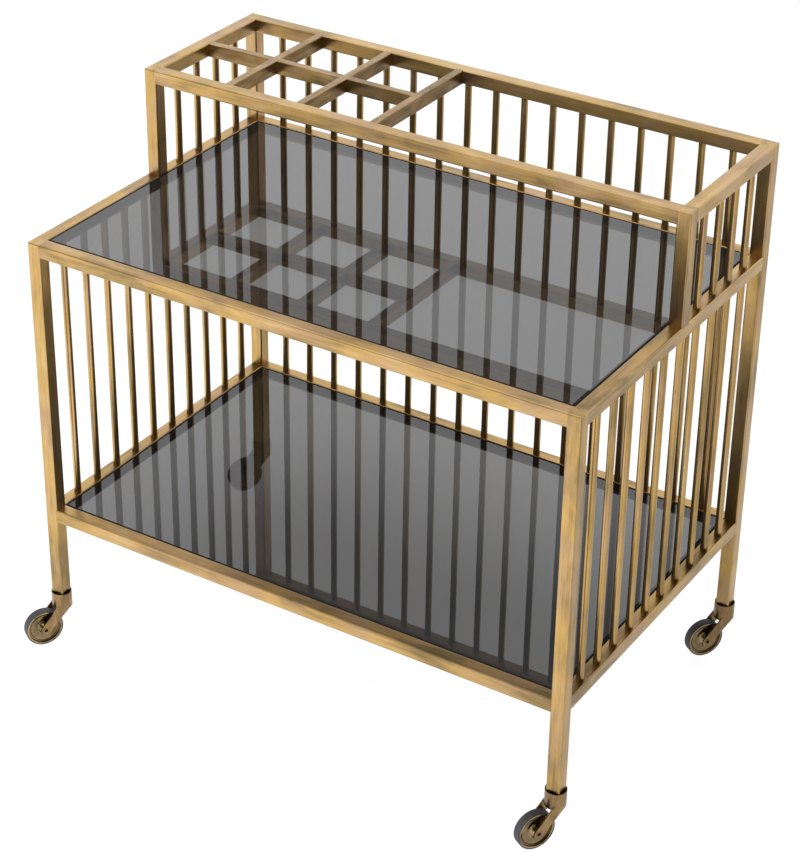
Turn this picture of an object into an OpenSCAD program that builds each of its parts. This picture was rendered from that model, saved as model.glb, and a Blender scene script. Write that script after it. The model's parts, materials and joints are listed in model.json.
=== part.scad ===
// Dessert trolley: a square-tube frame with a rear gallery, two let-in glass shelves,
// rows of round spindles, bottle cells and four swivel casters.
// Millimetres, +Z up, front towards -Y. The origin lies on the floor under the middle of the whole footprint.

/* [Frame] */
// length of the frame, left to right
frame_length = 840; // [640:10:1040]
// depth of the frame, front to back
frame_depth = 525; // [400:5:660]
// height of the middle frame's top above the floor
middle_height = 647; // [480:1:800]
// height of the lower frame's top above the floor
lower_height = 228; // [170:1:320]
// height of the gallery above the middle frame
gallery_height = 159; // [100:1:240]
// depth of the gallery, measured from the back of the frame
gallery_depth = 260; // [200:1:340]
// width of the square tube
tube = 20; // [16:0.5:26]
// wall thickness of the square tube
tube_wall = 1.5; // [1:0.1:2.5]
// radius of the tube's long edges
tube_edge = 2; // [1:0.1:3]

/* [Spindles and dividers] */
// diameter of a round spindle
spindle = 10; // [7:0.5:12]
// wall thickness of a spindle
spindle_wall = 1; // [0.8:0.1:2]
// number of spindles along the back, in each row
back_spindles = 17; // [9:1:25]
// number of spindles in each lower side
side_spindles = 10; // [5:1:15]
// number of spindles in each upper side
gallery_spindles = 4; // [2:1:8]
// clear length of a bottle cell along the gallery
cell_length = 105; // [90:1:130]
// width of a divider
divider = 12; // [8:0.5:16]

/* [Shelves] */
// thickness of the glass
glass_thickness = 6; // [4:0.5:10]
// depth of the glass's top below the frame's top
glass_drop = 0.5; // [0.2:0.1:2]
// width of the black seal around the glass
seal_width = 2.5; // [1.5:0.1:5]
// thickness of the seal under the glass
seal_pad = 1; // [0.5:0.1:2]
// width of the support strip under the glass
ledge_width = 9.5; // [6:0.5:16]
// thickness of the support strip
ledge_thickness = 3; // [2:0.5:5]

/* [Casters] */
// radius of the wheel over its tyre
wheel_radius = 28; // [22:0.5:36]
// width of the tyre
tyre_width = 13; // [10:0.5:18]
// thickness of the tyre over the rim's flanges
tread = 1.8; // [1:0.1:6]
// distance of the axle behind the swivel axis
trail = 30.5; // [24:0.5:40]
// gap between the tyre and the cup
wheel_gap = 6.2; // [3:0.1:12]
// height of the cup
cup_height = 25.2; // [20:0.1:32]
// gap between the cup and the corners of the leg that stands in it
leg_gap = 0.4; // [0.3:0.1:2]
// wall thickness of the cup
cup_wall = 1; // [0.8:0.1:2]
// distance of an arm's outer face from the widest point of the cup
arm_inset = 2.2; // [1.5:0.1:4]
// thickness of a fork arm
arm_thickness = 2.5; // [2:0.1:4]
// radius of a fork arm's end
arm_end_radius = 7.5; // [6:0.1:9]
// direction of each caster's trail at rest, seen from above and counted from +X:
// front left, front right, rear left, rear right
trail_angles = [238, 241, 238, 235];

/* [Hidden] */
$fn = 48;

brass = [0.72, 0.58, 0.36];
dark_brass = [0.42, 0.33, 0.2];
smoked = [0.16, 0.16, 0.17, 0.6];
black = [0.05, 0.05, 0.05];
steel = [0.6, 0.6, 0.62];

// frame lines, measured from the middle of the frame
half_length = frame_length / 2;
half_depth = frame_depth / 2;
leg_x = half_length - tube / 2;
leg_y = half_depth - tube / 2;
post_y = half_depth - gallery_depth + tube / 2;
top_height = middle_height + gallery_height;
clear_length = frame_length - 2 * tube;
clear_depth = frame_depth - 2 * tube;
clear_gallery = gallery_depth - 2 * tube;

// how far the end of a rail reaches round the rounded edge of the tube it is welded to
weld_reach = 0.7 * tube_edge;

// bottle cells
cell_columns = 3;
divider_edge = 1.2;
gallery_middle_y = half_depth - gallery_depth / 2;
function divider_x(i) = -half_length + tube + i * cell_length + (i - 0.5) * divider;

// glass seat, downwards from the top of a frame
glass_bottom = glass_drop + glass_thickness;
seat_depth = glass_bottom + seal_pad;
butt_gap = 0.3;

// caster sizes across; the square leg stands in the round cup
leg_corner = (tube / 2 - tube_edge) * sqrt(2) + tube_edge;
cup_bore = leg_corner + leg_gap;
cup_radius = cup_bore + cup_wall;
fork_width = 2 * (cup_radius - arm_inset);
running_gap = 0.05;
axle_radius = 3.3;
axle_bore = 2.5;
axle_lip_radius = 4.1;
axle_lip = 0.4;
hub_radius = 5.5;
hub_play = 0.4;
hub_length = fork_width - 2 * (arm_thickness + hub_play);
rim_radius = wheel_radius - tread;
shoulder = 1.5;
groove_depth = 1.4;
groove_width = 9.2;
stem_radius = 5;
stem_head_radius = 7.5;
stem_collar_radius = tube / 2 - 1;

// caster heights, upwards from the floor
cup_bottom = wheel_radius + sqrt(pow(wheel_radius + wheel_gap, 2) - pow(trail - cup_radius, 2));
leg_sink = 3.5;
leg_end = cup_bottom + cup_height - leg_sink;
stem_collar = 3;
washer_thickness = 2.5;
play = 0.3;
floor_thickness = 2.5;
floor_top = leg_end - stem_collar - washer_thickness - play;
floor_bottom = floor_top - floor_thickness;
stem_head = 2;
plug_height = 25;

// fork arm in its own plane, along the trail and up; its edges lie just inside the face of the cup
arm_back = 0.2 - sqrt(pow(cup_radius, 2) - pow(fork_width / 2, 2));
arm_front_height = cup_bottom + 7.7;

// the four corners, numbered as in trail_angles
function corner(i) = [(i % 2 == 0 ? -1 : 1) * leg_x, (i < 2 ? -1 : 1) * leg_y];
function heading(i) = [cos(trail_angles[i]), sin(trail_angles[i])];

// the whole footprint, along X or Y, used to put its middle over the origin
function wheel_reach(i, axis) =
    (wheel_radius - shoulder) * abs(heading(i)[axis])
    + (tyre_width / 2 - shoulder) * abs(heading(i)[1 - axis]) + shoulder;
function caster_reach(i, axis, side) =
    side * max(cup_radius, side * trail * heading(i)[axis] + wheel_reach(i, axis));
function footprint(axis, side) =
    side * max([for (i = [0 : 3]) side * (corner(i)[axis] + caster_reach(i, axis, side))]);
footprint_shift = [for (axis = [0, 1]) -(footprint(axis, -1) + footprint(axis, 1)) / 2];

// ---------- sections ----------

module rounded_rectangle(width, height, edge) {
    square([width - 2 * edge, height], center = true);
    square([width, height - 2 * edge], center = true);
    for (x = [-1, 1], y = [-1, 1])
        translate([x * (width / 2 - edge), y * (height / 2 - edge)]) circle(edge);
}

module tube_section() {
    difference() {
        rounded_rectangle(tube, tube, tube_edge);
        square(tube - 2 * tube_wall, center = true);
    }
}

module spindle_section() {
    difference() {
        circle(spindle / 2);
        circle(spindle / 2 - spindle_wall);
    }
}

module divider_section() {
    difference() {
        rounded_rectangle(divider, tube, divider_edge);
        square([divider - 2 * tube_wall, tube - 2 * tube_wall], center = true);
    }
}

// extrusions centred on the origin, lying along X or Y
module along_x(length) rotate([90, 0, 90]) linear_extrude(length, center = true) children();
module along_y(length) rotate([90, 0, 0]) linear_extrude(length, center = true) children();

// ---------- uprights ----------

// the outside of an upright, as a solid that the rails are cut against
module upright_outside(x, y, low, high)
    translate([x, y, low]) linear_extrude(high - low) rounded_rectangle(tube, tube, tube_edge);

module all_legs_outside()
    for (x = [-leg_x, leg_x], y = [-leg_y, leg_y]) upright_outside(x, y, 0, top_height + tube);

module all_posts_outside()
    for (x = [-leg_x, leg_x]) upright_outside(x, post_y, middle_height, top_height + tube);

// what a rounded edge leaves off a square corner; the edge lies along Y, outwards is +X and up
module edge_waste(length)
    translate([-tube_edge, 0, -tube_edge]) rotate([90, 0, 0]) linear_extrude(length, center = true)
        difference() {
            square(2 * tube_edge);
            circle(tube_edge);
        }

// an upright with a welded-in top, rounded over on its two outer sides
module upright(x_side, y_side, y, low, high) {
    x = x_side * leg_x;
    difference() {
        upright_outside(x, y, low, high);
        translate([x, y, (low + high) / 2 - tube_wall])
            cube([tube - 2 * tube_wall, tube - 2 * tube_wall, high - low], center = true);
        translate([x + x_side * tube / 2, y, high])
            rotate([0, 0, x_side > 0 ? 0 : 180]) edge_waste(2 * tube);
        translate([x, y + y_side * tube / 2, high])
            rotate([0, 0, y_side * 90]) edge_waste(2 * tube);
    }
}

module leg(x_side, y_side, high) upright(x_side, y_side, y_side * leg_y, leg_end, high);

module gallery_post(x_side)
    difference() {
        upright(x_side, -1, post_y, middle_height - weld_reach, top_height);
        side_rail_outside(x_side, middle_height);
    }

// ---------- rails ----------

module side_rail_outside(x_side, high)
    translate([x_side * leg_x, 0, high - tube / 2])
        along_y(frame_depth) rounded_rectangle(tube, tube, tube_edge);

module lengthwise_rail(y, high)
    difference() {
        translate([0, y, high - tube / 2]) along_x(clear_length + 2 * weld_reach) tube_section();
        all_legs_outside();
        all_posts_outside();
    }

// the outside of a lengthwise rail, which keeps the inner corner of the frame for itself
module corner_outside(y, high)
    translate([0, y, high - tube / 2])
        along_x(clear_length + 2 * tube_edge) rounded_rectangle(tube, tube, tube_edge);

module side_rail(x_side, high)
    difference() {
        translate([x_side * leg_x, 0, high - tube / 2])
            along_y(clear_depth + 2 * weld_reach) tube_section();
        all_legs_outside();
        for (y = [-leg_y, leg_y]) corner_outside(y, high);
    }

module gallery_side_rail(x_side)
    difference() {
        translate([x_side * leg_x, gallery_middle_y, top_height - tube / 2])
            along_y(clear_gallery + 2 * weld_reach) tube_section();
        all_legs_outside();
        all_posts_outside();
        for (y = [post_y, leg_y]) corner_outside(y, top_height);
    }

// ---------- gallery dividers ----------

module gallery_rails_outside() {
    for (y = [post_y, leg_y])
        translate([0, y, top_height - tube / 2])
            along_x(frame_length) rounded_rectangle(tube, tube, tube_edge);
    side_rail_outside(-1, top_height);
}

module cross_divider_outside(i, length)
    translate([divider_x(i), gallery_middle_y, top_height - tube / 2])
        along_y(length) rounded_rectangle(divider, tube, divider_edge);

module cross_divider(i)
    difference() {
        translate([divider_x(i), gallery_middle_y, top_height - tube / 2])
            along_y(clear_gallery + 2 * weld_reach) divider_section();
        gallery_rails_outside();
    }

module divider_pieces()
    difference() {
        for (i = [1 : cell_columns])
            translate([divider_x(i) - (cell_length + divider) / 2, gallery_middle_y, top_height - tube / 2])
                along_x(cell_length + 1.4 * divider_edge) divider_section();
        for (i = [1 : cell_columns]) cross_divider_outside(i, clear_gallery);
        gallery_rails_outside();
    }

// ---------- shelves ----------

// four strips round the inside of a frame; the two along the sides stop just short of the others
module strips(width, low, high) {
    for (y = [-1, 1])
        translate([-clear_length / 2, y > 0 ? clear_depth / 2 - width : -clear_depth / 2, low])
            cube([clear_length, width, high - low]);
    for (x = [-1, 1])
        translate([x > 0 ? clear_length / 2 - width : -clear_length / 2, -clear_depth / 2 + width + butt_gap, low])
            cube([width, clear_depth - 2 * (width + butt_gap), high - low]);
}

module shelf_ledge(top) strips(ledge_width, top - seat_depth - ledge_thickness, top - seat_depth);

// the seal stands round the glass and reaches under its edge
module shelf_seal(top) {
    section = [
        [0, 0], [ledge_width, 0], [ledge_width, seal_pad], [seal_width, seal_pad],
        [seal_width, seat_depth - glass_drop], [0, seat_depth - glass_drop]
    ];
    for (y = [-1, 1])
        translate([0, y * clear_depth / 2, top - seat_depth]) rotate([0, 0, y > 0 ? 180 : 0])
            rotate([90, 0, 90]) linear_extrude(clear_length, center = true) polygon(section);
    for (x = [-1, 1])
        difference() {
            translate([x * clear_length / 2, 0, top - seat_depth]) rotate([0, 0, x > 0 ? 90 : -90])
                rotate([90, 0, 90]) linear_extrude(clear_depth, center = true) polygon(section);
            for (y = [-1, 1])
                translate([0, y * clear_depth / 2, top - seat_depth]) {
                    cube([frame_length, 2 * (ledge_width + butt_gap), 2 * (seal_pad + butt_gap)], center = true);
                    cube([frame_length, 2 * (seal_width + butt_gap), 4 * seat_depth], center = true);
                }
        }
}

module shelf_glass(top)
    translate([0, 0, top - glass_bottom + glass_thickness / 2])
        cube([clear_length - 2 * seal_width, clear_depth - 2 * seal_width, glass_thickness], center = true);

// ---------- spindles ----------

// a row of equally spaced places in a clear width
function places(clear, count) =
    [for (i = [1 : count]) -clear / 2 + i * (clear - count * spindle) / (count + 1) + (i - 0.5) * spindle];

module spindle_at(x, y, low, high)
    translate([x, y, low]) linear_extrude(high - low) spindle_section();

module back_row(low, high)
    for (x = places(clear_length, back_spindles)) spindle_at(x, leg_y, low, high);

module lower_side_row(x_side)
    for (y = places(clear_depth, side_spindles))
        spindle_at(x_side * leg_x, y, lower_height, middle_height - tube);

module upper_side_row(x_side)
    for (y = places(clear_gallery, gallery_spindles))
        spindle_at(x_side * leg_x, gallery_middle_y + y, middle_height, top_height - tube);

// ---------- casters ----------
// Each is built with its swivel axis on Z and its trail along +X.

module at_caster(i) translate(corner(i)) rotate([0, 0, trail_angles[i]]) children();
module at_axle() translate([trail, 0, wheel_radius]) rotate([90, 0, 0]) children();
module at_every_leg() for (i = [0 : 3]) translate(corner(i)) children();

// where the tangent from point p touches a circle of radius r around c
function touch(p, c, r, side) =
    let (v = p - c, a = atan2(v[1], v[0]) + side * acos(r / norm(v))) c + r * [cos(a), sin(a)];

module arm_outline() {
    axle = [trail, wheel_radius];
    back = [arm_back, cup_bottom];
    front = [-arm_back, arm_front_height];
    // the straight edges run a little into the round end, so that they cross it cleanly
    inner_radius = arm_end_radius - 0.03;
    polygon([
        [arm_back, floor_top], back, touch(back, axle, inner_radius, 1),
        touch(front, axle, inner_radius, -1), front, [-arm_back, floor_top]
    ]);
    translate(axle) circle(arm_end_radius);
}

module fork() {
    difference() {
        union() {
            difference() {
                translate([0, 0, cup_bottom]) cylinder(h = cup_height, r = cup_radius);
                translate([0, 0, floor_top]) cylinder(h = cup_height, r = cup_bore);
                translate([0, 0, floor_bottom - cup_height]) cylinder(h = cup_height, r = cup_bore);
            }
            for (side = [-1, 1])
                translate([0, side * (fork_width - arm_thickness) / 2, 0]) along_y(arm_thickness) arm_outline();
        }
        translate([0, 0, floor_bottom - 1]) cylinder(h = floor_thickness + 2, r = stem_radius + running_gap);
        at_axle() cylinder(h = fork_width + 2, r = axle_radius, center = true);
    }
}

// a tube whose ends are turned over the arms
module axle_tube() {
    at_axle() difference() {
        union() {
            cylinder(h = fork_width, r = axle_radius, center = true);
            for (side = [-1, 1])
                translate([0, 0, side * (fork_width + axle_lip) / 2])
                    cylinder(h = axle_lip, r = axle_lip_radius, center = true);
        }
        cylinder(h = fork_width + 4, r = axle_bore, center = true);
    }
}

// hub, dished web and flanged rim in one casting; half profile as radius and half width
module wheel_body() {
    flange = tyre_width / 2 - 0.4;
    web = 3;
    half = [
        [axle_radius + running_gap, hub_length / 2], [hub_radius, hub_length / 2],
        [hub_radius + 3.5, web + 2.2], [hub_radius + 6.5, web + 0.6],
        [rim_radius - 5.7, web + 1.2], [rim_radius - 4.7, web],
        [rim_radius - 2.6, web], [rim_radius - 2, flange], [rim_radius, flange],
        [rim_radius, groove_width / 2], [rim_radius - groove_depth, groove_width / 2]
    ];
    at_axle() rotate_extrude() polygon(concat(half, [for (i = [len(half) - 1 : -1 : 0]) [half[i][0], -half[i][1]]]));
}

// a band round the rim whose foot fills the groove between the flanges
module tyre() {
    at_axle() rotate_extrude() {
        translate([rim_radius - groove_depth, -groove_width / 2])
            square([groove_depth + tread / 2, groove_width]);
        intersection() {
            translate([rim_radius, -tyre_width / 2]) square([tread, tyre_width]);
            translate([wheel_radius - tyre_width / 2, 0])
                rounded_rectangle(tyre_width, tyre_width, shoulder);
        }
    }
}

module plug()
    difference() {
        translate([0, 0, leg_end + plug_height / 2])
            cube([tube - 2 * tube_wall, tube - 2 * tube_wall, plug_height], center = true);
        translate([0, 0, leg_end - 1]) cylinder(h = plug_height + 2, r = stem_radius);
    }

module stem() {
    translate([0, 0, floor_bottom - play - stem_head]) {
        cylinder(h = leg_end + plug_height - (floor_bottom - play - stem_head), r = stem_radius);
        cylinder(h = stem_head, r = stem_head_radius);
    }
    translate([0, 0, leg_end - stem_collar]) cylinder(h = stem_collar, r = stem_collar_radius);
}

module washer()
    translate([0, 0, leg_end - stem_collar - washer_thickness])
        difference() {
            cylinder(h = washer_thickness, r = cup_bore - 2);
            translate([0, 0, -1]) cylinder(h = washer_thickness + 2, r = stem_radius);
        }

// ---------- sub-parts ----------

module placed() translate(footprint_shift) children();

module leg_front_left() color(brass) placed() leg(-1, -1, middle_height);
module leg_front_right() color(brass) placed() leg(1, -1, middle_height);
module leg_rear_left() color(brass) placed() leg(-1, 1, top_height);
module leg_rear_right() color(brass) placed() leg(1, 1, top_height);
module gallery_post_left() color(brass) placed() gallery_post(-1);
module gallery_post_right() color(brass) placed() gallery_post(1);
module lower_rail_front() color(brass) placed() lengthwise_rail(-leg_y, lower_height);
module lower_rail_rear() color(brass) placed() lengthwise_rail(leg_y, lower_height);
module lower_rail_left() color(brass) placed() side_rail(-1, lower_height);
module lower_rail_right() color(brass) placed() side_rail(1, lower_height);
module middle_rail_front() color(brass) placed() lengthwise_rail(-leg_y, middle_height);
module middle_rail_rear() color(brass) placed() lengthwise_rail(leg_y, middle_height);
module middle_rail_left() color(brass) placed() side_rail(-1, middle_height);
module middle_rail_right() color(brass) placed() side_rail(1, middle_height);
module gallery_rail_front() color(brass) placed() lengthwise_rail(post_y, top_height);
module gallery_rail_rear() color(brass) placed() lengthwise_rail(leg_y, top_height);
module gallery_rail_left() color(brass) placed() gallery_side_rail(-1);
module gallery_rail_right() color(brass) placed() gallery_side_rail(1);
module cross_divider_1() color(brass) placed() cross_divider(1);
module cross_divider_2() color(brass) placed() cross_divider(2);
module cross_divider_3() color(brass) placed() cross_divider(3);
module long_divider() color(brass) placed() divider_pieces();
module lower_ledge() color(dark_brass) placed() shelf_ledge(lower_height);
module middle_ledge() color(dark_brass) placed() shelf_ledge(middle_height);
module lower_seal() color(black) placed() shelf_seal(lower_height);
module middle_seal() color(black) placed() shelf_seal(middle_height);
module lower_glass() color(smoked) placed() shelf_glass(lower_height);
module middle_glass() color(smoked) placed() shelf_glass(middle_height);
module back_lower_spindles() color(brass) placed() back_row(lower_height, middle_height - tube);
module back_upper_spindles() color(brass) placed() back_row(middle_height, top_height - tube);
module left_lower_spindles() color(brass) placed() lower_side_row(-1);
module right_lower_spindles() color(brass) placed() lower_side_row(1);
module left_upper_spindles() color(brass) placed() upper_side_row(-1);
module right_upper_spindles() color(brass) placed() upper_side_row(1);
module leg_plugs() color(black) placed() at_every_leg() plug();
module caster_stems() color(steel) placed() at_every_leg() stem();
module thrust_washers() color(black) placed() at_every_leg() washer();
module fork_front_left() color(brass) placed() at_caster(0) fork();
module fork_front_right() color(brass) placed() at_caster(1) fork();
module fork_rear_left() color(brass) placed() at_caster(2) fork();
module fork_rear_right() color(brass) placed() at_caster(3) fork();
module axle_front_left() color(dark_brass) placed() at_caster(0) axle_tube();
module axle_front_right() color(dark_brass) placed() at_caster(1) axle_tube();
module axle_rear_left() color(dark_brass) placed() at_caster(2) axle_tube();
module axle_rear_right() color(dark_brass) placed() at_caster(3) axle_tube();
module wheel_front_left() color(brass) placed() at_caster(0) wheel_body();
module wheel_front_right() color(brass) placed() at_caster(1) wheel_body();
module wheel_rear_left() color(brass) placed() at_caster(2) wheel_body();
module wheel_rear_right() color(brass) placed() at_caster(3) wheel_body();
module tyre_front_left() color(black) placed() at_caster(0) tyre();
module tyre_front_right() color(black) placed() at_caster(1) tyre();
module tyre_rear_left() color(black) placed() at_caster(2) tyre();
module tyre_rear_right() color(black) placed() at_caster(3) tyre();

leg_front_left();
leg_front_right();
leg_rear_left();
leg_rear_right();
gallery_post_left();
gallery_post_right();
lower_rail_front();
lower_rail_rear();
lower_rail_left();
lower_rail_right();
middle_rail_front();
middle_rail_rear();
middle_rail_left();
middle_rail_right();
gallery_rail_front();
gallery_rail_rear();
gallery_rail_left();
gallery_rail_right();
cross_divider_1();
cross_divider_2();
cross_divider_3();
long_divider();
lower_ledge();
middle_ledge();
lower_seal();
middle_seal();
lower_glass();
middle_glass();
back_lower_spindles();
back_upper_spindles();
left_lower_spindles();
right_lower_spindles();
left_upper_spindles();
right_upper_spindles();
leg_plugs();
caster_stems();
thrust_washers();
fork_front_left();
fork_front_right();
fork_rear_left();
fork_rear_right();
axle_front_left();
axle_front_right();
axle_rear_left();
axle_rear_right();
wheel_front_left();
wheel_front_right();
wheel_rear_left();
wheel_rear_right();
tyre_front_left();
tyre_front_right();
tyre_rear_left();
tyre_rear_right();
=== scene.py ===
import json
import math

import bpy
import bmesh
from mathutils import Matrix, Vector


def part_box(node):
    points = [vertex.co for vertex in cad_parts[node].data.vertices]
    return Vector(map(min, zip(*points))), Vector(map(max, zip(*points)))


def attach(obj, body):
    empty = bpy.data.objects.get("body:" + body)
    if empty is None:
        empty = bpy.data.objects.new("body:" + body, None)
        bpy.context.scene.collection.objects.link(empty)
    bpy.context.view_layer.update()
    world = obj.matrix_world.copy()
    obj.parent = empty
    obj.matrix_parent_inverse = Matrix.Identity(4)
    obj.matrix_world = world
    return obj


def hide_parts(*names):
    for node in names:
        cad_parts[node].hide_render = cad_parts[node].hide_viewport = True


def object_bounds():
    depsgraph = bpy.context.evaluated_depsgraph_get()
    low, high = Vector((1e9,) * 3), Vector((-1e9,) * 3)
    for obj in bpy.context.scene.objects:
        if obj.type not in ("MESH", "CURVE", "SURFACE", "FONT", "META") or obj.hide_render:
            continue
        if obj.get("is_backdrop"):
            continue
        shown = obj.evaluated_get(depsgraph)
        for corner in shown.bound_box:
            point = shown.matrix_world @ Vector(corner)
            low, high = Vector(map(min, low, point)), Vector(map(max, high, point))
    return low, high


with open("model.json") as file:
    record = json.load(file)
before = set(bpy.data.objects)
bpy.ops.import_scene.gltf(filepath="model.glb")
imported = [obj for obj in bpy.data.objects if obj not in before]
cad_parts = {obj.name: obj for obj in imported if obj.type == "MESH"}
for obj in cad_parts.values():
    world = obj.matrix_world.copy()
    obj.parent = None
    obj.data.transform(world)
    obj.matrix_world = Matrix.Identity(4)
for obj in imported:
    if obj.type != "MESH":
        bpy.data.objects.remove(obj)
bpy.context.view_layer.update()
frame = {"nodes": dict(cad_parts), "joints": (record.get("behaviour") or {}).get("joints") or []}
nodes = frame["nodes"]
joints = {joint["name"]: joint for joint in frame["joints"]}
corners = ["front_left", "front_right", "rear_left", "rear_right"]
mm = 0.001
print("frame loaded:", len(nodes), "nodes")


# Nodes for materials and for Geometry Nodes.

class Wire:  # an output socket; arithmetic on it adds Math nodes
    def __init__(self, sheet, node, output=0):
        self.sheet, self.made, self.socket = sheet, node, node.outputs[output]

    def out(self, output):  # another output of the same node
        return Wire(self.sheet, self.made, output)

    def __add__(self, other):
        return self.sheet.maths("ADD", self, other)

    def __sub__(self, other):
        return self.sheet.maths("SUBTRACT", self, other)

    def __rsub__(self, other):
        return self.sheet.maths("SUBTRACT", other, self)

    def __mul__(self, other):
        return self.sheet.maths("MULTIPLY", self, other)

    def __truediv__(self, other):
        return self.sheet.maths("DIVIDE", self, other)

    def __rtruediv__(self, other):
        return self.sheet.maths("DIVIDE", other, self)

    __radd__, __rmul__ = __add__, __mul__


class NodeSheet:  # a node tree that is being drawn
    def __init__(self, tree):
        self.tree = tree

    def node(self, kind, settings=None, inputs=None, output=0):
        made = self.tree.nodes.new(kind)
        for key, value in (settings or {}).items():
            setattr(made, key, value)
        for key, value in (inputs or {}).items():
            if isinstance(value, Wire):
                self.tree.links.new(value.socket, made.inputs[key])
            else:
                made.inputs[key].default_value = value
        return Wire(self, made, output)

    def maths(self, operation, *values):
        return self.node("ShaderNodeMath", {"operation": operation}, dict(enumerate(values)))

    def objectPlace(self):
        return self.node("ShaderNodeTexCoord").out("Object")

    def mapped(self, place, **inputs):  # the place, moved or stretched
        return self.node("ShaderNodeMapping", None, {"Vector": place, **inputs})

    def blend(self, factor, first, second):  # from the first colour to the second
        first, second = [colour if isinstance(colour, Wire) else (*colour, 1.0)
                         for colour in (first, second)]
        return self.node("ShaderNodeMix", {"data_type": "RGBA"}, {0: factor, 6: first, 7: second}, output=2)

    def ramp(self, value, low, high, start=0.0, end=1.0):  # a smooth step from start to end
        return self.node("ShaderNodeMapRange", {"interpolation_type": "SMOOTHSTEP"},
                         {0: value, 1: low, 2: high, 3: start, 4: end})

    def noise(self, place, scale, detail, roughness=0.5, distortion=0.0):
        return self.node("ShaderNodeTexNoise", {"noise_dimensions": "3D"},
                         {"Vector": place, "Scale": scale, "Detail": detail, "Roughness": roughness,
                          "Distortion": distortion})

    def bump(self, height):  # the height is in metres
        return self.node("ShaderNodeBump", None, {"Strength": 1.0, "Distance": 1.0, "Height": height})


def newMaterial(name):
    material = bpy.data.materials.new(name)
    material.use_nodes = True
    material.node_tree.nodes.clear()
    return material, NodeSheet(material.node_tree)


def finishMaterial(sheet, **sockets):  # one Principled shader; _ stands for a space in a socket's name
    shader = sheet.node("ShaderNodeBsdfPrincipled", None,
                        {key.replace("_", " "): value for key, value in sockets.items()})
    output = sheet.tree.nodes.new("ShaderNodeOutputMaterial")
    sheet.tree.links.new(shader.socket, output.inputs["Surface"])


# Aged brass. Scales are counts per metre.

brassLook = {
    "golden": (0.42, 0.266, 0.093),
    "rosy": (0.385, 0.247, 0.122),
    "pale": (0.49, 0.345, 0.165),
    "olive": (0.22, 0.155, 0.066),
    "dark": (0.10, 0.064, 0.032),
    "roughness": 0.24,
    "roughnessSpread": 0.16,
    "cloudScale": 9.0,       # the large patches
    "patchScale": 34.0,
    "hueScale": 1.7,         # the change from golden to rosy, as a share of cloudScale
    "hueRange": (0.44, 0.64),
    "speckScale": 420.0,
    "waveScale": 55.0,
    "drawnOut": 0.35,        # scale along the tube, as a share of the scale across it
    "grainAcross": 700.0,    # brush lines, across and along the tube
    "grainAlong": 9.0,
    "streakAcross": 190.0,   # broader streaks
    "streakAlong": 7.0,
    "grainDepth": 0.015 * mm,
    "waveDepth": 0.05 * mm,  # hand-polished unevenness
    "tarnishShares": (0.28, 0.40, 0.21, 0.11),  # of clouds, patches, streaks and lines
    "roughnessShares": (0.6, 0.4),              # of patches and lines
    "layers": [  # what brings it out, where it starts, where it is full, its strength and its colour
        ("tarnish", 0.48, 0.39, 0.75, "pale"),
        ("tarnish", 0.47, 0.58, 0.80, "olive"),
        ("tarnish", 0.54, 0.68, 0.80, "dark"),
        ("lines", 0.35, 0.75, 0.16, "olive"),
        ("specks", 0.66, 0.78, 0.35, "dark"),
    ],
}
dividerLook = {
    **brassLook, "golden": (0.26, 0.165, 0.060), "rosy": (0.24, 0.155, 0.078), "pale": (0.40, 0.28, 0.135),
    "olive": (0.12, 0.085, 0.037), "dark": (0.045, 0.03, 0.016), "patchScale": 60.0,
}
rodBrassLook = {
    **brassLook, "patchScale": 22.0, "roughness": 0.22, "grainAcross": 400.0, "grainDepth": 0.006 * mm,
    "waveDepth": 0.012 * mm,
}
casterLook = {
    **brassLook, "golden": (0.25, 0.157, 0.066), "rosy": (0.225, 0.137, 0.075), "pale": (0.35, 0.24, 0.12),
    "olive": (0.14, 0.10, 0.045), "dark": (0.06, 0.042, 0.022), "roughness": 0.22, "patchScale": 80.0,
    "cloudScale": 30.0, "grainAlong": 60.0, "streakAlong": 40.0,
}
wheelLook = {
    **casterLook, "golden": (0.34, 0.25, 0.125), "rosy": (0.32, 0.23, 0.13), "pale": (0.44, 0.34, 0.19),
    "roughness": 0.10, "grainAcross": 400.0, "grainAlong": 400.0, "streakAcross": 90.0,
    "streakAlong": 90.0, "waveDepth": 0.09 * mm,
    "paintedShade": 0.7,                        # painted shade in the sunk web
    "paintedShadeRange": (0.25, 0.6, 1.0, 0.75),  # the painted shade thins from 1.0 to 0.75 as the patches rise from 0.25 to 0.6
}


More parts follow.
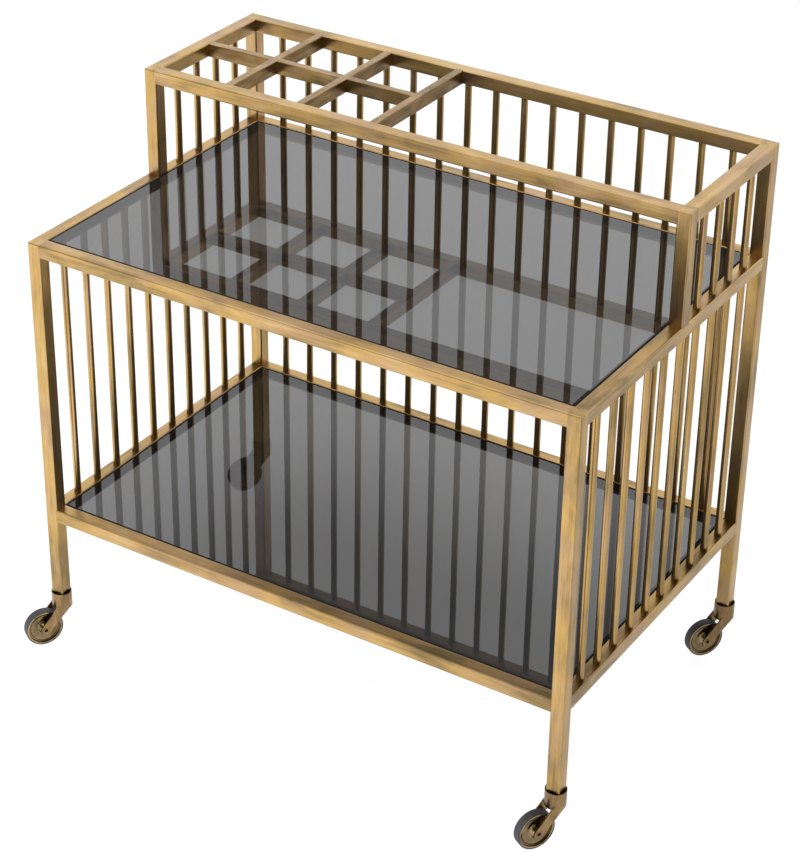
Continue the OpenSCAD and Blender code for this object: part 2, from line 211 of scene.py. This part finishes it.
def brassMaterial(name, grain, look, shift):  # grain is the axis along the tube
    material, sheet = newMaterial(name)
    place = sheet.mapped(sheet.objectPlace(), Location=shift)

    def stretched(along, across):
        return sheet.mapped(place, Scale=[along if axis == grain else across for axis in "xyz"])

    drawn = stretched(look["drawnOut"], 1.0)
    brushed = stretched(look["grainAlong"], look["grainAcross"])
    streaked = stretched(look["streakAlong"], look["streakAcross"])
    lines = sheet.noise(brushed, 1.0, detail=2.0, roughness=0.6)
    streaks = sheet.noise(streaked, 1.0, detail=3.0, roughness=0.6, distortion=0.3)
    clouds = sheet.noise(drawn, look["cloudScale"], detail=3.0, roughness=0.55, distortion=0.6)
    patches = sheet.noise(drawn, look["patchScale"], detail=4.0, roughness=0.6, distortion=0.4)
    hue = sheet.noise(place, look["cloudScale"] * look["hueScale"], detail=2.0, roughness=0.5)
    specks = sheet.noise(place, look["speckScale"], detail=2.0, roughness=0.5)
    waves = sheet.noise(drawn, look["waveScale"], detail=1.0, roughness=0.4)

    cloudShare, patchShare, streakShare, lineShare = look["tarnishShares"]
    tarnish = clouds * cloudShare + patches * patchShare + streaks * streakShare + lines * lineShare
    sources = {"tarnish": tarnish, "lines": lines, "specks": specks}
    colour = sheet.blend(sheet.ramp(hue, *look["hueRange"]), look["golden"], look["rosy"])
    for source, start, full, strength, tint in look["layers"]:
        colour = sheet.blend(sheet.ramp(sources[source], start, full, 0.0, strength), colour, look[tint])
    if "paintedShade" in look:  # painted shade where the mesh says it is sunk, broken up by the patches
        sunk = sheet.node("ShaderNodeAttribute", {"attribute_name": "sunk"}).out("Fac")
        shadeInRecess = look["paintedShade"] * sheet.ramp(patches, *look["paintedShadeRange"])
        colour = sheet.blend(sunk * shadeInRecess, colour, look["dark"])

    patchShare, lineShare = look["roughnessShares"]
    roughness = look["roughness"] + look["roughnessSpread"] * (patches * patchShare + lines * lineShare)
    surface = waves * look["waveDepth"] + (lines + streaks) * look["grainDepth"]
    finishMaterial(sheet, Base_Color=colour, Metallic=1.0, Roughness=roughness, Normal=sheet.bump(surface))
    return material


brassX = brassMaterial("brassAlongLength", "x", brassLook, (0.13, 0.0, 0.0))
brassY = brassMaterial("brassAlongDepth", "y", brassLook, (0.0, 0.31, 0.4))
brassZ = brassMaterial("brassUpright", "z", brassLook, (0.7, 0.2, 0.0))
rodBrass = brassMaterial("brassRods", "z", rodBrassLook, (0.3, 0.9, 0.2))
dividerBrassX = brassMaterial("brassDividerAlongLength", "x", dividerLook, (0.13, 0.5, 0.0))
dividerBrassY = brassMaterial("brassDividersAlongDepth", "y", dividerLook, (0.6, 0.31, 0.4))
casterBrass = brassMaterial("brassCasters", "z", casterLook, (0.5, 0.4, 0.1))
wheelBrass = brassMaterial("brassWheels", "z", wheelLook, (0.2, 0.1, 0.6))
print("brass mixed")


# Glass, rubber, paint, plastic and steel.

glassLook = {
    "colour": (0.012, 0.0125, 0.014), "alpha": 0.80, "index": 1.58,
    "polish": 0.012,  # roughness where it is clean
    "smear": 0.012,   # and how much a smear adds
    "filmScale": 7.0, "filmRange": (0.45, 0.75),
}
mattLook = {  # what rubber, paint and plastic share
    "shine": 0.5,
    "skinDepth": 0.03 * mm,
    "skinRoughness": 0.08,
    "dustScale": 0.08,  # as a share of skinScale
    "dustRange": (0.45, 0.75), "dustStrength": 0.7,
    "dryRange": (0.4, 0.7), "dryRoughness": 0.2,  # how the dust dulls the gloss
}
rubberLook = {**mattLook, "colour": (0.055, 0.052, 0.058), "dust": (0.13, 0.12, 0.115), "roughness": 0.55,
              "skinScale": 900.0}
sealLook = {**mattLook, "colour": (0.012, 0.012, 0.012), "dust": (0.02, 0.02, 0.02), "roughness": 0.75,
            "skinScale": 1200.0, "shine": 0.1}
paintLook = {**mattLook, "colour": (0.028, 0.024, 0.02), "dust": (0.06, 0.05, 0.04), "roughness": 0.5,
             "skinScale": 600.0}
plasticLook = {**mattLook, "colour": (0.025, 0.025, 0.026), "dust": (0.05, 0.05, 0.05), "roughness": 0.38,
               "skinScale": 800.0}
steelLook = {"dark": (0.50, 0.50, 0.51), "light": (0.62, 0.62, 0.62), "roughness": 0.22,
             "roughnessSpread": 0.2, "turned": (200.0, 200.0, 3000.0)}


def glassMaterial(name, look):
    material, sheet = newMaterial(name)
    film = sheet.noise(sheet.objectPlace(), look["filmScale"], detail=4.0, roughness=0.6, distortion=0.8)
    roughness = look["polish"] + look["smear"] * sheet.ramp(film, *look["filmRange"])
    finishMaterial(sheet, Base_Color=(*look["colour"], 1.0), Roughness=roughness, IOR=look["index"],
                   Alpha=look["alpha"])
    return material


def mattMaterial(name, look):  # a fine skin with some dust
    material, sheet = newMaterial(name)
    place = sheet.objectPlace()
    skin = sheet.noise(place, look["skinScale"], detail=3.0, roughness=0.6)
    dust = sheet.noise(place, look["skinScale"] * look["dustScale"], detail=4.0, roughness=0.6)
    dusty = sheet.ramp(dust, *look["dustRange"], 0.0, look["dustStrength"])
    colour = sheet.blend(dusty, look["colour"], look["dust"])
    dry = look["dryRoughness"] * sheet.ramp(dust, *look["dryRange"])
    roughness = look["roughness"] + dry + look["skinRoughness"] * skin
    finishMaterial(sheet, Base_Color=colour, Roughness=roughness,
                   Normal=sheet.bump(skin * look["skinDepth"]), Specular_IOR_Level=look["shine"])
    return material


def steelMaterial(name, look):
    material, sheet = newMaterial(name)
    lines = sheet.noise(sheet.mapped(sheet.objectPlace(), Scale=look["turned"]), 1.0, detail=2.0)
    colour = sheet.blend(lines, look["dark"], look["light"])
    roughness = look["roughness"] + look["roughnessSpread"] * lines
    finishMaterial(sheet, Base_Color=colour, Metallic=1.0, Roughness=roughness)
    return material


smokedGlass = glassMaterial("smokedGlass", glassLook)
tyreRubber = mattMaterial("tyreRubber", rubberLook)
sealRubber = mattMaterial("sealRubber", sealLook)
ledgePaint = mattMaterial("ledgePaint", paintLook)
blackPlastic = mattMaterial("blackPlastic", plasticLook)
turnedSteel = steelMaterial("turnedSteel", steelLook)
print("glass, rubber and dark parts mixed")


# CAD nodes that stay. The brass grain runs along each tube.

def dress(names, material):
    for name in names:
        for slot in nodes[name].material_slots:
            slot.material = material


dress([name for name in nodes if name.startswith(("leg_front", "leg_rear", "gallery_post"))], brassZ)
dress([name for name in nodes if name.endswith(("rail_front", "rail_rear"))], brassX)
dress([name for name in nodes if name.endswith(("rail_left", "rail_right"))], brassY)
dress(["long_divider"], dividerBrassX)
dress([name for name in nodes if name.startswith("cross_divider")], dividerBrassY)
dress(["lower_ledge", "middle_ledge"], ledgePaint)
dress(["lower_seal", "middle_seal"], sealRubber)
dress(["leg_plugs", "thrust_washers"], blackPlastic)
dress(["caster_stems"], turnedSteel)
print("frame dressed")


# Mesh helpers.

def addPiece(name, mesh, body, node, material):
    mesh.name = name
    piece = bpy.data.objects.new(name, mesh)
    bpy.context.scene.collection.objects.link(piece)
    mesh.materials.clear()
    mesh.materials.append(material)
    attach(piece, body)
    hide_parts(node)


def plainMesh(source):  # what an object looks like with its modifiers, as a mesh of its own
    bpy.context.view_layer.update()
    seen = source.evaluated_get(bpy.context.evaluated_depsgraph_get())
    mesh = bpy.data.meshes.new_from_object(seen)
    bpy.data.objects.remove(source)
    return mesh


def shade(mesh, angle=30.0):  # smooth, but sharp where faces meet at more than the angle
    mesh.shade_smooth()
    mesh.set_sharp_from_angle(angle=math.radians(angle))


def roundedLoop(points, steps=4):  # points are (across, along, radius of the corner)
    loop = []
    for i, (x, y, radius) in enumerate(points):
        here = Vector((x, y))
        if radius <= 0:
            loop.append(here)
            continue
        before = (Vector(points[i - 1][:2]) - here).normalized()
        after = (Vector(points[(i + 1) % len(points)][:2]) - here).normalized()
        half = before.angle(after) / 2
        centre = here + (before + after).normalized() * (radius / math.sin(half))
        reach = radius / math.tan(half)
        first, last = here + before * reach - centre, here + after * reach - centre
        sweep = first.angle_signed(last)
        for k in range(steps + 1):
            turn = -sweep * k / steps
            loop.append(centre + Matrix.Rotation(turn, 2) @ first)
    return loop


def mirrored(half):  # the points of a section, and then their mirror image
    return half + [(x, -y, radius) for x, y, radius in reversed(half)]


def turnedMesh(loop, place, segments, sunk=None):
    # a closed loop of (radius, height) is spun about Z, and then placed
    shape = bmesh.new()
    rings = []
    for k in range(segments):
        turn = 2 * math.pi * k / segments
        rings.append([shape.verts.new((point.x * math.cos(turn), point.x * math.sin(turn), point.y))
                      for point in loop])
    for k in range(segments):
        here, there = rings[k], rings[(k + 1) % segments]
        for i in range(len(loop)):
            j = (i + 1) % len(loop)
            shape.faces.new((here[i], there[i], there[j], here[j]))
    bmesh.ops.recalc_face_normals(shape, faces=shape.faces)
    mesh = bpy.data.meshes.new("turned")
    shape.to_mesh(mesh)
    shape.free()
    shade(mesh)
    if sunk:  # how far each point lies in a recess, for the painted shade in the material
        depth = mesh.attributes.new("sunk", "FLOAT", "POINT")
        for i, vertex in enumerate(mesh.vertices):
            depth.data[i].value = sunk(math.hypot(vertex.co.x, vertex.co.y), vertex.co.z)
    mesh.transform(place)
    return mesh


def joinMeshes(meshes):
    shape = bmesh.new()
    for mesh in meshes:
        shape.from_mesh(mesh)
    joined = bpy.data.meshes.new("joined")
    shape.to_mesh(joined)
    shape.free()
    return joined


# Glass panes, with their edges ground.

paneLook = {"arris": 0.2 * mm}


def addPane(shelf, look):
    low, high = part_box(shelf + "_glass")
    size = high - low
    shape = bmesh.new()
    bmesh.ops.create_cube(shape, size=1.0)
    for vertex in shape.verts:
        vertex.co = Vector([low[i] + (vertex.co[i] + 0.5) * size[i] for i in range(3)])
    bmesh.ops.bevel(shape, geom=shape.edges, offset=look["arris"], segments=1, affect="EDGES")
    mesh = bpy.data.meshes.new("pane")
    shape.to_mesh(mesh)
    shape.free()
    addPiece(shelf + "Glass", mesh, "frame", shelf + "_glass", smokedGlass)


for shelf in ["lower", "middle"]:
    addPane(shelf, paneLook)
print("glass laid in")


# Spindles. One Geometry Nodes tree makes every row.

rodLook = {
    "bead": 0.3 * mm,    # the brazed bead at each end
    "sides": 24,
    "rings": 30,
    "sharpAngle": 40.0,
}


def rodTree(look, material):
    tree = bpy.data.node_groups.new("rodRow", "GeometryNodeTree")
    sheet = NodeSheet(tree)
    for name, kind in [("Count", "Int"), ("First", "Vector"), ("Step", "Vector"), ("Height", "Float"),
                       ("Radius", "Float"), ("Bead", "Float")]:
        tree.interface.new_socket(name, in_out="INPUT", socket_type="NodeSocket" + kind)
    tree.interface.new_socket("Geometry", in_out="OUTPUT", socket_type="NodeSocketGeometry")
    given = sheet.node("NodeGroupInput")
    height, radius, bead = given.out("Height"), given.out("Radius"), given.out("Bead")
    line = sheet.node("GeometryNodeCurvePrimitiveLine", None, {"Start": (0, 0, 0), "End": (0, 0, 1)})
    line = sheet.node("GeometryNodeResampleCurve", None, {"Curve": line, "Count": look["rings"]})
    # the rings crowd towards both ends, where the bead is
    turn = sheet.maths("COSINE", sheet.node("GeometryNodeSplineParameter") * math.pi)
    along = (1 - turn) * 0.5 * height
    raised = sheet.node("ShaderNodeCombineXYZ", None, {"Z": along})
    line = sheet.node("GeometryNodeSetPosition", None, {"Geometry": line, "Position": raised})
    nearest = sheet.maths("MINIMUM", along, height - along)
    swell = sheet.maths("EXPONENT", nearest * (-1) / bead)
    line = sheet.node("GeometryNodeSetCurveRadius", None,
                      {"Curve": line, "Radius": 1 + swell * bead / radius})
    ring = sheet.node("GeometryNodeCurvePrimitiveCircle", None,
                      {"Resolution": look["sides"], "Radius": radius})
    rod = sheet.node("GeometryNodeCurveToMesh", None,
                     {"Curve": line, "Profile Curve": ring, "Fill Caps": True,
                      "Scale": sheet.node("GeometryNodeInputRadius")})
    places = sheet.node("GeometryNodeMeshLine", {"mode": "OFFSET"},
                        {"Count": given.out("Count"), "Start Location": given.out("First"),
                         "Offset": given.out("Step")})
    row = sheet.node("GeometryNodeInstanceOnPoints", None, {"Points": places, "Instance": rod})
    row = sheet.node("GeometryNodeRealizeInstances", None, {"Geometry": row})
    row = sheet.node("GeometryNodeSetMaterial", None, {"Geometry": row, "Material": material})
    output = tree.nodes.new("NodeGroupOutput")
    tree.links.new(row.socket, output.inputs[0])
    return tree


def rodRow(name, tree, values):
    host = bpy.data.objects.new(name + "Host", bpy.data.meshes.new(name + "Host"))
    bpy.context.scene.collection.objects.link(host)
    modifier = host.modifiers.new("rods", "NODES")
    modifier.node_group = tree
    for item in tree.interface.items_tree:
        if item.in_out == "INPUT":
            modifier[item.identifier] = values[item.name]
    mesh = plainMesh(host)
    shade(mesh, rodLook["sharpAngle"])
    return mesh


rodRowTree = rodTree(rodLook, rodBrass)
rodRows = {  # how many rods, and the axis along which the row runs
    "back_lower_spindles": (17, 0), "back_upper_spindles": (17, 0),
    "left_lower_spindles": (10, 1), "right_lower_spindles": (10, 1),
    "left_upper_spindles": (4, 1), "right_upper_spindles": (4, 1),
}
for node, (count, axis) in rodRows.items():
    low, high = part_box(node)
    radius = min(high.x - low.x, high.y - low.y) / 2
    first = Vector(((low.x + high.x) / 2, (low.y + high.y) / 2, low.z))
    first[axis] = low[axis] + radius
    step = Vector((0.0, 0.0, 0.0))
    step[axis] = (high[axis] - low[axis] - 2 * radius) / (count - 1)
    mesh = rodRow(node, rodRowTree, {"Count": count, "First": first, "Step": step,
                                     "Height": high.z - low.z, "Radius": radius, "Bead": rodLook["bead"]})
    place, level = node.split("_")[:2]
    addPiece(place + level.title() + "Rods", mesh, "frame", node, rodBrass)
print("spindle rows made")


# Casters. Each is drawn with the leg's axis at the origin and its wheel towards +X, and then turned.

casterSize = {
    "trail": 30.5 * mm, "wheelRadius": 28 * mm, "tyreWidth": 13 * mm, "tread": 1.8 * mm,
    "cupRadius": 14.714 * mm, "cupBore": 13.714 * mm, "cupBottom": 58.34 * mm, "cupHeight": 25.2 * mm,
    "floorTop": 74.24 * mm, "floorThickness": 2.5 * mm, "stemBore": 5.05 * mm,
    "armInset": 2.2 * mm, "armThickness": 2.5 * mm, "armEnd": 7.5 * mm, "armFront": 7.7 * mm,
    "armSink": 0.2 * mm, "armSoftEdge": 0.35 * mm, "armSharpAngle": 20.0,
    "axleRadius": 3.3 * mm, "axleBore": 2.5 * mm, "lipRadius": 4.1 * mm, "lip": 0.4 * mm,
    "hubRadius": 5.5 * mm, "hubPlay": 0.4 * mm, "hubClearance": 0.05 * mm, "webHalf": 3 * mm,
    "flangeInset": 0.4 * mm, "groove": 1.4 * mm, "grooveWidth": 9.2 * mm,
    "endSteps": 28, "holeSteps": 40, "cupSegments": 96, "axleSegments": 48, "wheelSegments": 128,
}


def forkHalf(size):  # from the middle of the wheel to the outside of an arm
    return size["cupRadius"] - size["armInset"]


def armMesh(size, side):
    back = size["armSink"] - math.sqrt(size["cupRadius"] ** 2 - forkHalf(size) ** 2)
    foot = Vector((back, size["cupBottom"]))
    front = Vector((-back, size["cupBottom"] + size["armFront"]))
    axle, radius = Vector((size["trail"], size["wheelRadius"])), size["armEnd"]

    def touching(point, way):  # the way from the axle to where the point's straight edge meets the end
        gap = point - axle
        return math.atan2(gap.y, gap.x) + way * math.acos(radius / gap.length)

    def aroundAxle(reach, turn):
        return axle + reach * Vector((math.cos(turn), math.sin(turn)))

    start, end = touching(foot, 1), touching(front, -1) + 2 * math.pi
    steps, holeSteps = size["endSteps"], size["holeSteps"]
    outline = [Vector((-back, size["floorTop"])), Vector((back, size["floorTop"])), foot]
    outline += [aroundAxle(radius, start + (end - start) * k / steps) for k in range(steps + 1)]
    outline.append(front)
    hole = [aroundAxle(size["axleRadius"], 2 * math.pi * k / holeSteps) for k in range(holeSteps)]
    curve = bpy.data.curves.new("arm", "CURVE")
    curve.dimensions, curve.fill_mode = "2D", "BOTH"
    for points in [outline, hole]:
        spline = curve.splines.new("POLY")
        spline.points.add(len(points) - 1)
        for point, spot in zip(spline.points, points):
            point.co = (*spot, 0.0, 1.0)
        spline.use_cyclic_u = True
    soft = size["armSoftEdge"]
    curve.bevel_depth, curve.bevel_resolution, curve.offset = soft, 2, -soft
    curve.extrude = size["armThickness"] / 2 - soft
    host = bpy.data.objects.new("arm", curve)
    bpy.context.scene.collection.objects.link(host)
    mesh = plainMesh(host)
    shape = bmesh.new()
    shape.from_mesh(mesh)
    bmesh.ops.remove_doubles(shape, verts=shape.verts, dist=0.001 * mm)
    bmesh.ops.recalc_face_normals(shape, faces=shape.faces)
    shape.to_mesh(mesh)
    shape.free()
    shade(mesh, size["armSharpAngle"])
    middle = side * (forkHalf(size) - size["armThickness"] / 2)
    mesh.transform(Matrix.Translation((0, middle, 0)) @ Matrix.Rotation(math.pi / 2, 4, "X"))
    return mesh


# In the sections below the third number of each point rounds its corner.

def cupMesh(size):
    bottom, top = size["cupBottom"], size["cupBottom"] + size["cupHeight"]
    outer, bore, floor = size["cupRadius"], size["cupBore"], size["floorTop"]
    under = floor - size["floorThickness"]
    loop = roundedLoop([
        (outer, bottom, 0.35 * mm), (outer, top, 0.2 * mm), (bore, top, 0.15 * mm),
        (bore, floor, 0.5 * mm), (size["stemBore"], floor, 0.2 * mm), (size["stemBore"], under, 0.2 * mm),
        (bore, under, 0.5 * mm), (bore, bottom, 0.3 * mm)])
    return turnedMesh(loop, Matrix.Identity(4), size["cupSegments"])


def wheelLoop(size):
    rim = size["wheelRadius"] - size["tread"]
    hub = forkHalf(size) - size["armThickness"] - size["hubPlay"]
    web, flange = size["webHalf"], size["tyreWidth"] / 2 - size["flangeInset"]
    return roundedLoop(mirrored([
        (size["axleRadius"] + size["hubClearance"], hub, 0.3 * mm), (size["hubRadius"], hub, 0.5 * mm),
        (size["hubRadius"] + 3.5 * mm, web + 2.2 * mm, 2.0 * mm),
        (size["hubRadius"] + 6.5 * mm, web + 0.6 * mm, 2.5 * mm),
        (rim - 5.7 * mm, web + 1.2 * mm, 0.8 * mm), (rim - 4.7 * mm, web, 0.4 * mm),
        (rim - 2.6 * mm, web, 0.4 * mm), (rim - 2 * mm, flange, 0.4 * mm), (rim, flange, 0.3 * mm),
        (rim, size["grooveWidth"] / 2, 0.0), (rim - size["groove"], size["grooveWidth"] / 2, 0.0)]), 3)


def wheelSunk(size):  # the web lies between the raised rim and the hub
    high, low = size["tyreWidth"] / 2 - 0.6 * mm, size["webHalf"] + 0.6 * mm
    return lambda radius, height: min(1.0, max(0.0, (high - abs(height)) / (high - low)))


def tyreLoop(size):
    outer, foot = size["wheelRadius"], size["wheelRadius"] - size["tread"] - size["groove"]
    rim = outer - size["tread"]
    return roundedLoop(mirrored([
        (foot, size["grooveWidth"] / 2, 0.0), (rim, size["grooveWidth"] / 2, 0.0),
        (rim, size["tyreWidth"] / 2, 0.25 * mm), (outer, size["tyreWidth"] / 2, 1.2 * mm)]), 6)


def axleLoop(size):
    half = forkHalf(size)
    end = half + size["lip"]
    return roundedLoop(mirrored([
        (size["axleBore"], end, 0.3 * mm), (size["lipRadius"], end, 0.3 * mm),
        (size["lipRadius"], half, 0.0), (size["axleRadius"], half, 0.0)]))


def addCaster(corner, size):
    swivel = Vector(joints[corner + "_swivel"]["pos_m"])
    axle = Vector(joints[corner + "_roll"]["pos_m"])
    heading = math.atan2(axle.y - swivel.y, axle.x - swivel.x)
    stand = Matrix.Translation((swivel.x, swivel.y, 0)) @ Matrix.Rotation(heading, 4, "Z")
    onAxle = (stand @ Matrix.Translation((size["trail"], 0, size["wheelRadius"]))
              @ Matrix.Rotation(math.pi / 2, 4, "X"))
    fork = joinMeshes([cupMesh(size), armMesh(size, -1), armMesh(size, 1)])
    fork.transform(stand)
    axleTube = turnedMesh(axleLoop(size), onAxle, size["axleSegments"])
    wheel = turnedMesh(wheelLoop(size), onAxle, size["wheelSegments"], wheelSunk(size))
    tyre = turnedMesh(tyreLoop(size), onAxle, size["wheelSegments"])
    label = corner.title().replace("_", "")
    for kind, mesh, body, slot, material in [
            ("fork", fork, "caster_", "caster_brass", casterBrass),
            ("axle", axleTube, "caster_", "caster_brass", casterBrass),
            ("wheel", wheel, "wheel_", "caster_brass", wheelBrass),
            ("tyre", tyre, "wheel_", "tyre_rubber", tyreRubber)]:
        addPiece(kind + label, mesh, body + corner, kind + "_" + corner, material)


for corner in corners:
    addCaster(corner, casterSize)
print("casters made")


# Floor, light and camera.

studio = {
    "floorSize": 30.0, "floorColour": (0.12, 0.12, 0.12), "floorRoughness": 0.9,
    # what the floor throws up at the trolley, least at the back right and most at the front left
    "floorGlow": (0.9, 1.65),
    "glowWay": (0.6, 0.8),         # the way in X and Y in which it falls off
    "glowReach": 0.6,              # and how far from the middle it goes on changing
    "floorShade": 0.4,             # how much of it is lost under the trolley
    "shadeSides": (0.65, 0.25),    # where the shade under the trolley starts and is full
    "shadeFront": (-0.45, -0.15),
    "shadeBack": (0.62, 0.15),
    # what the camera sees; the world is plain white to it
    "floorSeen": 0.95,
    "throughGlass": 2.6,           # floor and world behind the smoked glass
    "throughShade": 0.78,          # how much of that is lost under the trolley
    # what the world throws at the trolley
    "room": 0.08,                  # the dim room in front and above
    "horizon": 0.55,               # the pale walls low down, all round
    "wallTop": (0.40, 0.20),       # where they start and are full, by how far a ray points up
    "backdrop": 1.55,              # the paper behind the trolley
    "paperBack": (0.2, 0.6),       # where it starts and is full, by how far a ray points to the back
    "paperTop": (0.85, 0.65),      # and by how far it points up
    "lights": {  # place, what it faces, size and power of each soft box
        "above": ((-1.0, -1.2, 3.4), (-1.0, -1.2, 0.0), (3.8, 4.6), 115.0),
        "left": ((-3.4, -0.6, 1.0), (0.0, 0.0, 0.4), (1.0, 1.0), 6.0),
    },
}


def lookThrough(sheet):  # 1 where the camera sees a thing directly, and 1 where glass is between
    path = sheet.node("ShaderNodeLightPath")
    panes = sheet.maths("MINIMUM", path.out("Transparent Depth"), 1.0)
    return path.out("Is Camera Ray") * (1 - panes), path.out("Is Camera Ray") * panes


def addFloor(look):
    material, sheet = newMaterial("lightTable")
    spot = sheet.node("ShaderNodeSeparateXYZ", None, {0: sheet.objectPlace()})
    x, y = spot.out("X"), spot.out("Y")
    outside, inside = look["shadeSides"]
    shaded = (sheet.ramp(x, -outside, -inside) * sheet.ramp(x, outside, inside)
              * sheet.ramp(y, *look["shadeFront"]) * sheet.ramp(y, *look["shadeBack"]))
    least, most = look["floorGlow"]
    reach = look["glowReach"]
    glow = sheet.ramp(x * look["glowWay"][0] + y * look["glowWay"][1], reach, -reach, least, most)
    glow = glow * (1 - shaded * look["floorShade"])
    direct, through = lookThrough(sheet)
    behind = look["throughGlass"] * (1 - shaded * look["throughShade"])
    glow = direct * look["floorSeen"] + through * behind + (1 - direct - through) * glow
    finishMaterial(sheet, Base_Color=(*look["floorColour"], 1.0), Roughness=look["floorRoughness"],
                   Emission_Color=(1.0, 1.0, 1.0, 1.0), Emission_Strength=glow)
    half = look["floorSize"] / 2
    mesh = bpy.data.meshes.new("floor")
    mesh.from_pydata([(-half, -half, 0), (half, -half, 0), (half, half, 0), (-half, half, 0)], [],
                     [(0, 1, 2, 3)])
    mesh.materials.append(material)
    floor = bpy.data.objects.new("floor", mesh)
    bpy.context.scene.collection.objects.link(floor)
    floor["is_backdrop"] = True


def addWorld(look):
    world = bpy.data.worlds.new("studio")
    world.use_nodes = True
    world.node_tree.nodes.clear()
    sheet = NodeSheet(world.node_tree)
    way = sheet.node("ShaderNodeSeparateXYZ", None, {0: sheet.node("ShaderNodeTexCoord").out("Generated")})
    paper = sheet.ramp(way.out("Y"), *look["paperBack"]) * sheet.ramp(way.out("Z"), *look["paperTop"])
    walls = sheet.ramp(way.out("Z"), *look["wallTop"])
    strength = look["room"] + (look["horizon"] - look["room"]) * walls
    strength = strength + (look["backdrop"] - strength) * paper
    direct, through = lookThrough(sheet)
    strength = direct + through * look["throughGlass"] + (1 - direct - through) * strength
    light = sheet.node("ShaderNodeBackground", None, {"Color": (1.0, 1.0, 1.0, 1.0), "Strength": strength})
    output = world.node_tree.nodes.new("ShaderNodeOutputWorld")
    world.node_tree.links.new(light.socket, output.inputs["Surface"])
    bpy.context.scene.world = world


def addLights(look):
    for name, (place, facing, size, power) in look["lights"].items():
        lamp = bpy.data.lights.new(name, "AREA")
        lamp.shape, lamp.size, lamp.size_y, lamp.energy = "RECTANGLE", size[0], size[1], power
        light = bpy.data.objects.new(name, lamp)
        light.location = place
        light.rotation_euler = (Vector(facing) - Vector(place)).to_track_quat("-Z", "Y").to_euler()
        bpy.context.scene.collection.objects.link(light)


cameraLook = {  # fitted to the photograph; angles are in degrees
    "place": (1.513628, -2.397820, 2.053328), "azimuth": 32.0835, "elevation": 29.5685, "roll": 0.7444,
    "focalPixels": 2375.23, "middlePixel": (388.36, 382.70), "picture": (800, 853),
}


def addCamera(look):
    turn, rise, roll = [math.radians(look[key]) for key in ("azimuth", "elevation", "roll")]
    back = Vector((math.sin(turn) * math.cos(rise), -math.cos(turn) * math.cos(rise), math.sin(rise)))
    right = (-back).cross(Vector((0, 0, 1))).normalized()
    up = right.cross(-back)
    across = math.cos(roll) * right + math.sin(roll) * up
    above = math.cos(roll) * up - math.sin(roll) * right
    data = bpy.data.cameras.new("camera")
    width, height = look["picture"]
    longSide = max(width, height)
    data.lens = data.sensor_width * look["focalPixels"] / longSide
    data.shift_x = (width / 2 - look["middlePixel"][0]) / longSide
    data.shift_y = (look["middlePixel"][1] - height / 2) / longSide
    camera = bpy.data.objects.new("camera", data)
    facing = Matrix((across, above, back)).transposed().to_4x4()
    camera.matrix_world = Matrix.Translation(look["place"]) @ facing
    bpy.context.scene.collection.objects.link(camera)
    bpy.context.scene.camera = camera


addFloor(studio)
addWorld(studio)
addLights(studio)
bpy.context.scene.view_settings.view_transform = "Standard"
addCamera(cameraLook)
print("studio lit")

low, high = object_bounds()
